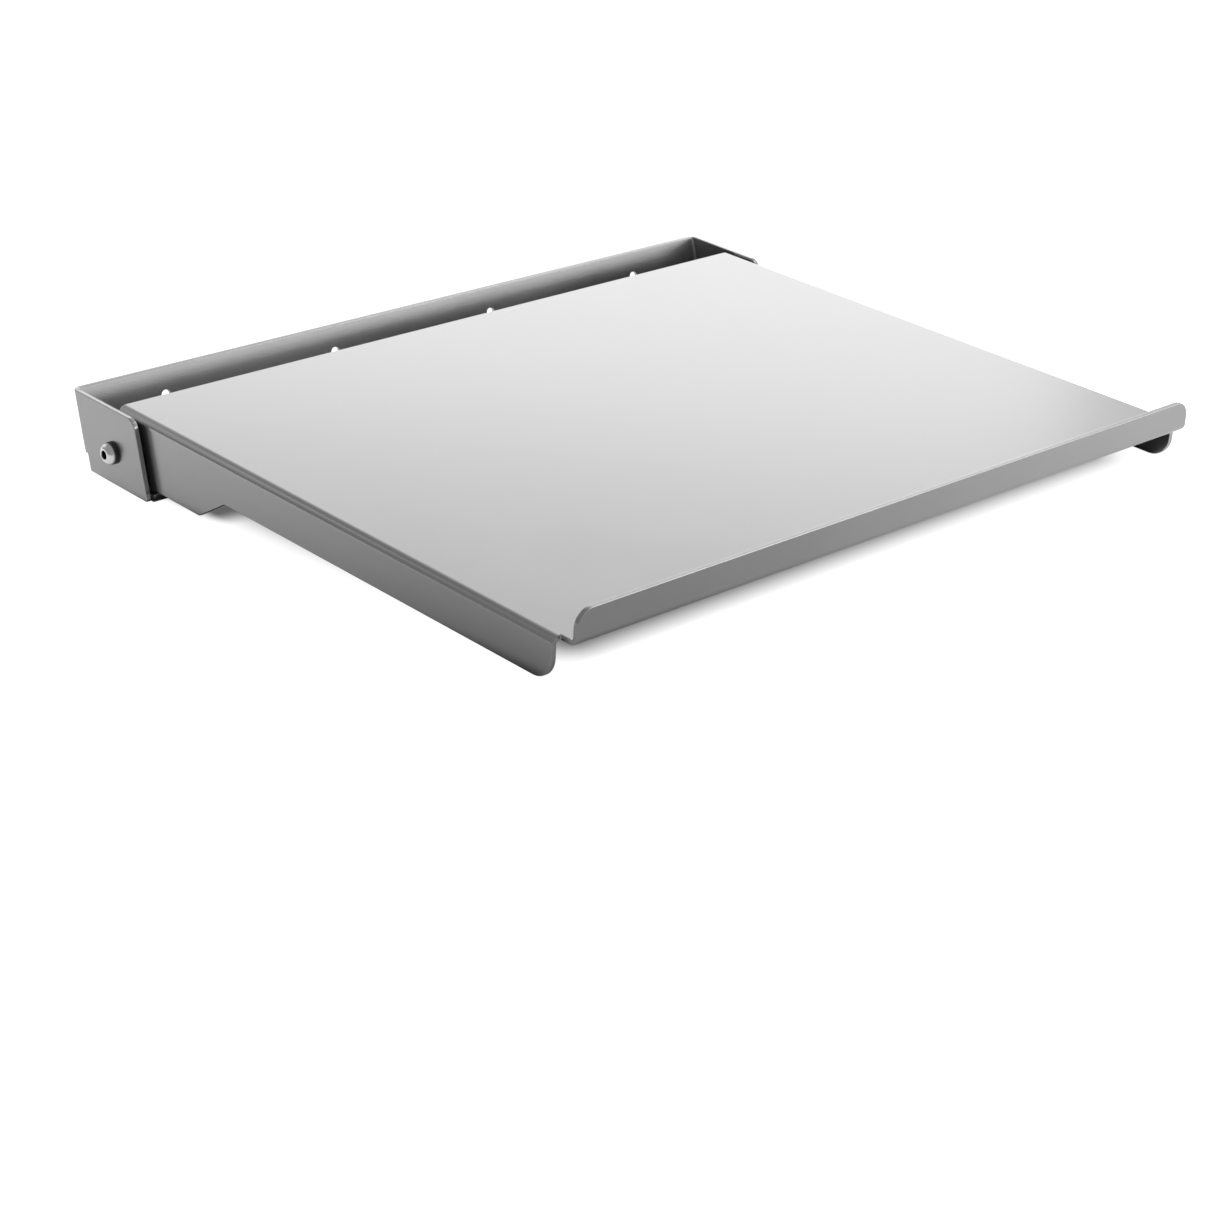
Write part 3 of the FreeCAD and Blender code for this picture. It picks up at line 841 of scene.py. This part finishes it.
@dataclass
class WallBracket(Form):
    """Bracket folded from one sheet: back plate, two ears and a sloping bottom flange."""

    ear_face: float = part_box("wall_bracket")[1].x
    back_rise: float = 0.0301
    ear_depth: float = 0.051
    ear_corner: float = 0.006
    toe: float = 0.001
    relief_drop: float = 0.0015
    floor_drop: float = 0.0159
    wall_hole: float = 0.00275
    wall_hole_count: int = 4
    wall_hole_pitch: float = 0.103
    pivot_radius: float = 0.0032

    @property
    def relief_top(self) -> float:
        """Height of the top of the corner reliefs."""
        return HINGE.z - self.relief_drop

    @property
    def floor_half(self) -> float:
        """Half of the bottom flange's width."""
        return self.ear_face - BEND_OUTER - BEND_LAND

    def ear_top(self, forward: float) -> float:
        """Return the height of the top edge at a distance from the wall plane."""
        return HINGE.z + self.back_rise - forward * math.tan(TILT)

    def underside(self, forward: float) -> float:
        """Return the height of the underside at a distance from the wall plane."""
        return HINGE.z - self.floor_drop / math.cos(TILT) + (-HINGE.y - forward) * math.tan(TILT)

    def fold_ear(self, side: Side) -> None:
        """Make an ear and the upright bend behind it.

        Args:
            side: End of the bracket.
        """
        x = side.value * self.ear_face
        relief = BEND_OUTER + BEND_LAND
        outline = [
            (-BEND_OUTER, self.relief_top, 0), (-BEND_OUTER, self.ear_top(BEND_OUTER), 0),
            (-self.ear_depth, self.ear_top(self.ear_depth), self.ear_corner),
            (-self.ear_depth, self.underside(self.ear_depth), self.toe),
            (-relief, self.underside(relief), self.toe), (-relief, self.relief_top, EDGE_BREAK),
        ]
        edges = self.outline(outline, lambda y, z: Vector((x, y, z)))
        centre = Vector((x - side.value * BEND_OUTER, -BEND_OUTER, 0.0))
        self.roll(edges[0], centre, Z_AXIS, side.value * QUARTER)

    def fold_back(self) -> None:
        """Make the back plate, the bend at its foot and the bottom flange."""
        wide = self.ear_face - BEND_OUTER
        bend_end = BEND_OUTER * (1 - math.sin(TILT))
        bend_top = self.underside(bend_end) + BEND_OUTER * math.cos(TILT)
        right = [
            (self.floor_half, bend_top, 0), (self.floor_half, self.relief_top, EDGE_BREAK),
            (wide, self.relief_top, 0), (wide, self.ear_top(BEND_OUTER), 0),
        ]
        edges = self.outline(mirrored(right), lambda x, z: Vector((x, 0.0, z)))
        self.roll(edges[-1], Vector((0.0, -BEND_OUTER, bend_top)), X_AXIS, TILT - QUARTER)
        start = Vector((0.0, -bend_end, self.underside(bend_end)))
        forward = Vector((0.0, -math.cos(TILT), -math.sin(TILT)))
        reach = (self.ear_depth - GAUGE * math.sin(TILT) - bend_end) / math.cos(TILT)
        flange = mirrored([(self.floor_half, 0, 0), (self.floor_half, reach, self.toe)])
        self.outline(flange, lambda x, run: Vector((x, 0, 0)) + start + forward * run)

    def slope_top(self) -> None:
        """Bring the top of the back plate and of its bends onto the ears' sloping plane."""
        near_top = self.ear_top(self.ear_depth)
        for vert in self.bm.verts:
            if vert.co.y > -BEND_OUTER - SAME_POINT and vert.co.z > near_top:
                vert.co.z = self.ear_top(-vert.co.y)

    def build(self) -> None:
        """Fold the sheet, thicken it, round its edges and drill it."""
        for side in Side:
            self.fold_ear(side)
        self.fold_back()
        self.thicken(-Z_AXIS)
        self.slope_top()
        self.soften(EDGE_BREAK)
        middle = (self.wall_hole_count - 1) / 2
        row = [Vector(((i - middle) * self.wall_hole_pitch, 0.0, 0.0)) for i in range(self.wall_hole_count)]
        self.pierce(row, Vector((0, -1, 0)), self.wall_hole)
        self.pierce_sides(self.ear_face, HINGE, self.pivot_radius)
        self.dress("bracket_sheet", COAT, Body.BRACKET, "wall_bracket")


@dataclass(frozen=True)
class Seat:
    """Where a turned piece sits on the hinge axis: its radius and the X of its two faces."""

    inner: float
    outer: float
    radius: float

    @classmethod
    def of(cls, stem: str) -> Self:
        """Read a piece's seat from its solid on the right, named without its side."""
        low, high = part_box(Side.RIGHT.node(stem))
        return cls(low.x, high.x, (high.z - low.z) / 2)


@dataclass
class HingeHardware:
    """Screw, washers, lock nut and its nylon ring at one end of the hinge."""

    side: Side
    shank: float = 0.003
    washer_bore: float = 0.00315
    washer_break: float = 0.00025
    head_rim: float = 0.0004
    head_crown: float = 0.0028
    head_bulge: float = 0.00055
    head_steps: int = 10
    socket_flats: float = 0.004
    socket_depth: float = 0.0021
    socket_cone: float = 0.0008
    socket_mouth: float = 0.0001
    thread_pitch: float = 0.001
    thread_root: float = 0.0025
    thread_foot: float = 0.45
    thread_steps: int = 24
    tip_chamfer: float = 0.0006
    nut_flats: float = 0.010
    nut_face: float = 0.0047
    nut_hex_height: float = 0.0042
    nut_chamfer: float = math.radians(30.0)
    collar: float = 0.0045
    collar_round: float = 0.0005
    collar_steps: int = 4
    ring_cover: float = 0.00035
    ring_lap: float = 0.0005
    ring_fit: float = 0.00002
    bore: float = 0.00305

    def fit(self, stem: str, form: Form, finish: Finish) -> None:
        """Lay a form's +Z along the hinge axis, outwards at this end, and dress it."""
        form.move(Matrix.Translation(HINGE) @ Matrix.Rotation(self.side.value * QUARTER, 4, "Y"))
        form.dress(self.side.piece(stem), finish, Body.BRACKET, self.side.node(stem))

    def screw(self) -> None:
        """Make the button-head screw with its hexagon socket and helical thread."""
        seat = Seat.of("pivot_screw")
        crown, tip = seat.outer, seat.inner
        under_head = Seat.of("head_washer").outer
        thread_end = Seat.of("back_washer").inner + self.thread_pitch
        flat = self.socket_flats / 2
        mouth = flat / math.cos(math.pi / 6) + self.socket_mouth
        wall = mouth + self.socket_mouth
        floor = crown - self.socket_depth
        tip_radius = self.shank - self.tip_chamfer
        rim = (seat.radius, under_head + self.head_rim)
        profile = [
            (0.0, tip), (tip_radius, tip), (self.thread_root, tip + self.thread_root - tip_radius),
            (self.thread_root, thread_end), (self.shank, thread_end + self.thread_pitch / 2),
            (self.shank, under_head), (seat.radius - self.head_rim / 2, under_head),
            *arc_points(rim, (self.head_crown, crown), self.head_bulge, self.head_steps),
            (mouth, crown), (wall, crown - self.socket_mouth), (wall, floor),
            (flat - self.socket_mouth, floor), (0.0, floor - self.socket_cone),
        ]
        form = Form()
        form.turn(profile)
        for vert, reach in form.hexagon(wall, self.socket_flats):
            if vert.co.z > crown - self.socket_depth / 2:
                vert.co.z = crown - (mouth - reach)
        self.cut_thread(form, tip + self.tip_chamfer, thread_end)
        self.fit("pivot_screw", form, STAINLESS)

    def cut_thread(self, form: Form, low: float, high: float) -> None:
        """Wind the thread's ridge round the shank.

        Args:
            form: Form to add to.
            low: Height where the ridge starts.
            high: Height where it ends.
        """
        bm = form.bm
        half = self.thread_pitch * self.thread_foot
        sunk = self.thread_root - self.ring_fit
        turns = math.floor((high - low) / self.thread_pitch)
        known = set(bm.edges)
        corners = [(sunk, 0, low - half), (self.shank, 0, low), (sunk, 0, low + half)]
        verts = [bm.verts.new(corner) for corner in corners]
        edges = [bm.edges.new((verts[i], verts[i - 1])) for i in range(3)]
        step = Vector((0, 0, self.thread_pitch / self.thread_steps))
        form.spin(verts + edges, ORIGIN, Z_AXIS, math.tau * turns, turns * self.thread_steps, dvec=step)
        bmesh.ops.holes_fill(bm, edges=[edge for edge in bm.edges if edge not in known], sides=3)
        form.face_out()

    def ring(self, stem: str, bore: float, rounding: float, finish: Finish) -> None:
        """Make a flat ring with softened edges.

        Args:
            stem: Node name without its side.
            bore: Radius of its hole.
            rounding: Size of its edges' rounding.
            finish: Its finish.
        """
        seat = Seat.of(stem)
        form = Form()
        low, high, wide = seat.inner, seat.outer, seat.radius
        form.turn([(bore, low), (wide, low), (wide, high), (bore, high)], closed=True)
        form.soften(rounding)
        self.fit(stem, form, finish)

    def nut(self) -> None:
        """Make the lock nut: a chamfered hexagon, a collar and an edge rolled over the ring."""
        seat = Seat.of("lock_nut")
        ring = Seat.of("nut_ring")
        face, end = seat.outer, seat.inner
        hex_end = face - self.nut_hex_height
        groove = ring.radius + self.ring_fit
        lip = groove - self.ring_lap
        marker = self.nut_flats
        sagitta = self.collar_round * (1 - math.cos(QUARTER / 2))
        arc_start = (self.collar - self.collar_round, end)
        arc = arc_points(arc_start, (self.collar, end + self.collar_round), sagitta, self.collar_steps)
        profile = [
            (self.nut_face, face), (marker, face), (marker, hex_end), (self.nut_face, hex_end),
            (self.collar, hex_end - self.ring_cover / 2),
            *reversed(arc),
            (lip, end), (lip, ring.inner), (groove, ring.inner), (groove, ring.outer),
            (self.bore, ring.outer), (self.bore, face - self.ring_cover),
            (self.bore + self.ring_cover, face),
        ]
        form = Form()
        form.turn(profile, closed=True)
        for vert, reach in form.hexagon(marker, self.nut_flats):
            drop = (reach - self.nut_face) * math.tan(self.nut_chamfer)
            vert.co.z += drop if vert.co.z < (face + hex_end) / 2 else -drop
        self.fit("lock_nut", form, ZINC)

    def build(self) -> None:
        """Make every piece at this end of the hinge."""
        self.screw()
        washers = {"head_washer": BLACK_NYLON, "spacer_washer": BLACK_NYLON, "back_washer": ZINC}
        for stem, finish in washers.items():
            self.ring(stem, self.washer_bore, self.washer_break, finish)
        self.nut()
        self.ring("nut_ring", self.bore, self.washer_break / 2, NUT_NYLON)


@dataclass
class StopPad(Form):
    """Rubber pad on the bottom flange, under one side flange of the open tray."""

    side: Side
    tray: LaptopTray
    bracket: WallBracket
    width: float = 0.010
    length: float = 0.014
    thick: float = 0.0022
    setback: float = 0.003
    corner: float = 0.0015
    soft_edge: float = 0.0003

    def build(self) -> None:
        """Make the pad square to the open tray and stick it to the flange."""
        tray, bracket = self.tray, self.bracket
        forward = (bracket.ear_depth + HINGE.y) / math.cos(TILT) + (tray.lobe + self.thick) * math.tan(TILT)
        front = tray.pivot.y - forward + self.setback
        rear = front + self.length
        outer = self.side.value * bracket.floor_half
        inner = outer - self.side.value * self.width
        corners = ((outer, front), (outer, rear), (inner, rear), (inner, front))
        outline = [(x, y, self.corner) for x, y in corners]
        self.outline(outline, lambda x, y: Vector((x, y, -tray.rear_drop)))
        raised = bmesh.ops.extrude_face_region(self.bm, geom=self.bm.faces[:])["geom"]
        moved = [item for item in raised if isinstance(item, BMVert)]
        bmesh.ops.translate(self.bm, vec=Vector((0, 0, -self.thick)), verts=moved)
        self.face_out()
        self.soften(self.soft_edge)
        self.move(tray.opened)
        self.dress(self.side.piece("stop_pad"), RUBBER, Body.BRACKET, self.side.node("stop_pad"))


@dataclass(frozen=True)
class Softbox:
    """A large soft lamp that looks at the holder."""

    name: str
    towards: Triple
    distance: float
    width: float
    height: float
    radiance: float


@dataclass(frozen=True)
class Shade:
    """A rectangle of painted shadow on the floor, where its glow is taken away, and how far past it the
    floor turns white.
    """

    half: float
    front: float
    back: float
    side_rise: float
    end_rise: float
    turn: float = 0.0

    def past(self, wiring: Wiring) -> NodeSocket:
        """Wire how far a point on the floor is out of the shade.

        Args:
            wiring: Wiring of the floor's material.

        Returns:
            The socket of a mask, 0 in the shade and 1 past its rise.
        """
        middle = Vector((0.0, (self.front + self.back) / 2, 0.0))
        reach = (self.half, (self.back - self.front) / 2, 0.0)
        point = wiring.node("Mapping", {"Vector": wiring.place, "Location": -middle}).outputs["Vector"]
        turned = {"Vector": point, "Rotation": (0.0, 0.0, -self.turn)}
        point = wiring.node("Mapping", turned).outputs["Vector"]
        beyond = wiring.vector("SUBTRACT", wiring.vector("ABSOLUTE", point), reach)
        outside = wiring.vector("MAXIMUM", beyond, (0.0, 0.0, 0.0))
        level = wiring.vector("MULTIPLY", outside, (1.0 / self.side_rise, 1.0 / self.end_rise, 0.0))
        return wiring.rise(wiring.vector("LENGTH", level), smooth=True)


@dataclass
class Studio:
    """Pale floor under the holder, soft lamps, white surroundings and the camera."""

    floor_reach: float = 3.0
    floor_gap: float = 0.0003
    floor_lean: float = math.radians(11.42)
    floor_level: float = 0.9
    floor_speckle: float = 0.01
    speckle_scale: float = 40.0
    # Painted shadows: rectangles where the floor's glow is taken away round the tray, the bracket and the
    # toes.
    tray_shade: Shade = Shade(0.165, -0.297, 0.0, 0.030, 0.026, math.radians(0.8))
    bracket_shade: Shade = Shade(0.188, -0.083, 0.0, 0.010, 0.020)
    shadow_level: float = 0.12
    toe_shade: Shade = Shade(0.2012, -0.0515, -0.042, 0.0008, 0.001)
    # Painted shade and light in reflections: where the floor's glow for glossy rays is taken away, and how
    # it rises to the right and rear.
    mirror_shade: Shade = Shade(0.200, -0.315, -0.010, 0.010, 0.010)
    mirror_level: float = 0.42
    # Painted shade: the floor's colour under the tray, standing in for deep shadow.
    shaded_floor_level: float = 0.2
    lit_towards: Triple = (1.0, 1.0, 0.0)
    lit_span: Point = (-0.55, -0.14)
    rear_span: Point = (0.03, 0.35)
    rear_level: float = 0.9
    sky: float = 0.36
    dim_side: float = 0.275
    bright_towards: Triple = (0.80, 0.20, -0.55)
    bright_span: Point = (-0.35, 0.35)
    softboxes: tuple[Softbox, ...] = (
        Softbox("back_right_softbox", (0.455, 0.808, 0.373), 1.5, 1.9, 0.76, 0.83),
        Softbox("front_right_softbox", (0.55, -0.80, 0.17), 1.3, 1.0, 0.5, 1.8),
        Softbox("top_softbox", (0.6, -0.25, 0.75), 1.4, 0.45, 0.45, 2.5),
        Softbox("rear_left_softbox", (-0.25, 0.76, 0.60), 1.62, 1.34, 0.8, 0.34),
    )
    camera_place: Triple = (-0.88296, -1.19509, 0.20947)
    camera_turn: Triple = (75.746, 7.623, -41.595)
    lens: float = 84.029

    def surroundings(self) -> None:
        """Make the world: white to the eye and on the right in reflections, softer as a light."""
        world = bpy.data.worlds.new("white_surroundings")
        wiring = Wiring.fresh(world, "Generated")
        rightward = wiring.vector("DOT_PRODUCT", wiring.place, self.bright_towards)
        bright = wiring.rise(rightward, self.bright_span, (0.0, 1.0 - self.dim_side), smooth=True)
        straight, reflected = wiring.rays()
        dim = wiring.maths("MULTIPLY_ADD", reflected, self.dim_side - self.sky, self.sky)
        level = wiring.maths("MULTIPLY_ADD", bright, reflected, dim)
        strength = wiring.maths("MAXIMUM", straight, level)
        back = wiring.node("Background", {"Color": grey(1.0), "Strength": strength})
        wiring.node("OutputWorld", {"Surface": back.outputs["Background"]})
        bpy.context.scene.world = world

    def glow(self, wiring: Wiring, open_mirror: NodeSocket) -> NodeSocket:
        """Wire the floor's glow, for the eye and in reflections: painted shadows round the holder, and
        painted light to the right and rear in reflections.

        Args:
            wiring: Wiring of the floor's material.
            open_mirror: Socket of how far a point is out of the mirrored shade.

        Returns:
            The brightness's socket.
        """
        straight, reflected = wiring.rays()
        clear = wiring.maths("MULTIPLY", self.tray_shade.past(wiring), self.bracket_shade.past(wiring))
        seen = wiring.maths("MULTIPLY", straight, wiring.rise(clear, ends=(self.shadow_level, 1.0)))
        eye = wiring.maths("MULTIPLY", seen, self.toe_shade.past(wiring))
        # Painted light in reflections: the floor glows brighter to the right and to the rear.
        rightward = wiring.vector("DOT_PRODUCT", wiring.place, self.lit_towards)
        right_lit = wiring.rise(rightward, self.lit_span, (0.0, self.mirror_level), smooth=True)
        backward = wiring.node("SeparateXYZ", {"Vector": wiring.place}).outputs["Y"]
        rear_lit = wiring.rise(backward, self.rear_span, (0.0, self.rear_level), smooth=True)
        lit = wiring.maths("MULTIPLY", wiring.maths("MAXIMUM", right_lit, rear_lit), open_mirror)
        return wiring.maths("MULTIPLY_ADD", reflected, lit, eye)

    def floor_material(self) -> Material:
        """Make the floor's pale material, which turns white away from the holder; its colour is painted dark
        under the tray as painted shade.

        Returns:
            The material.
        """
        made = bpy.data.materials.new("pale_floor")
        wiring = Wiring.fresh(made)
        open_mirror = self.mirror_shade.past(wiring)
        low, high = self.floor_level - self.floor_speckle, self.floor_level + self.floor_speckle
        open_floor = wiring.blend(wiring.noise(self.speckle_scale), grey(low), grey(high))
        inputs = {
            # Painted shade: the floor's colour goes dark within the mirrored shade.
            "Base Color": wiring.blend(open_mirror, grey(self.shaded_floor_level), open_floor),
            "Roughness": 1.0,
            "Specular IOR Level": 0.0,
            "Emission Color": grey(1.0),
            "Emission Strength": self.glow(wiring, open_mirror),
        }
        shader = wiring.node("BsdfPrincipled", inputs).outputs["BSDF"]
        clear = wiring.node("BsdfTransparent").outputs["BSDF"]
        from_below = wiring.node("NewGeometry").outputs["Backfacing"]
        seen = wiring.node("MixShader", {0: from_below, 1: shader, 2: clear})
        wiring.node("OutputMaterial", {"Surface": seen.outputs["Shader"]})
        return made

    def floor(self) -> None:
        """Lay the floor under the ears' toes and the tray's front corners."""
        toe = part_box("wall_bracket")[0]
        form = Form()
        bmesh.ops.create_grid(form.bm, x_segments=4, y_segments=4, size=self.floor_reach)
        lean = Matrix.Rotation(self.floor_lean, 4, "X")
        form.move(Matrix.Translation((0.0, toe.y, toe.z - self.floor_gap)) @ lean)
        form.finish("floor", self.floor_material())

    def lamps(self) -> None:
        """Hang the softboxes round the middle of the holder."""
        middle = (cad_box[0] + cad_box[1]) / 2
        for box in self.softboxes:
            lamp = bpy.data.lights.new(box.name, "AREA")
            lamp.shape = "RECTANGLE"
            lamp.size, lamp.size_y = box.width, box.height
            lamp.energy = box.radiance * math.pi * box.width * box.height
            towards = Vector(box.towards).normalized()
            aim = towards.to_track_quat("Z", "Y").to_matrix().to_4x4()
            place = Matrix.Translation(middle + towards * box.distance)
            add_object(box.name, lamp).matrix_world = place @ aim

    def camera(self) -> None:
        """Set up the camera."""
        name = "view_from_front_left"
        data = bpy.data.cameras.new(name)
        data.lens = self.lens
        camera = add_object(name, data)
        camera.location = self.camera_place
        camera.rotation_euler = [math.radians(angle) for angle in self.camera_turn]
        bpy.context.scene.camera = camera

    def build(self) -> None:
        """Set the whole stage."""
        self.surroundings()
        self.floor()
        self.lamps()
        self.camera()
        bpy.context.scene.view_settings.view_transform = "Standard"


def main() -> None:
    """Build the holder and its studio."""
    logging.basicConfig(level=logging.INFO, format="%(name)s: %(message)s")
    tray = LaptopTray()
    bracket = WallBracket()
    tray.build()
    bracket.build()
    for side in Side:
        HingeHardware(side).build()
        StopPad(side, tray, bracket).build()
    Studio().build()


if __name__ == "__main__":
    main()
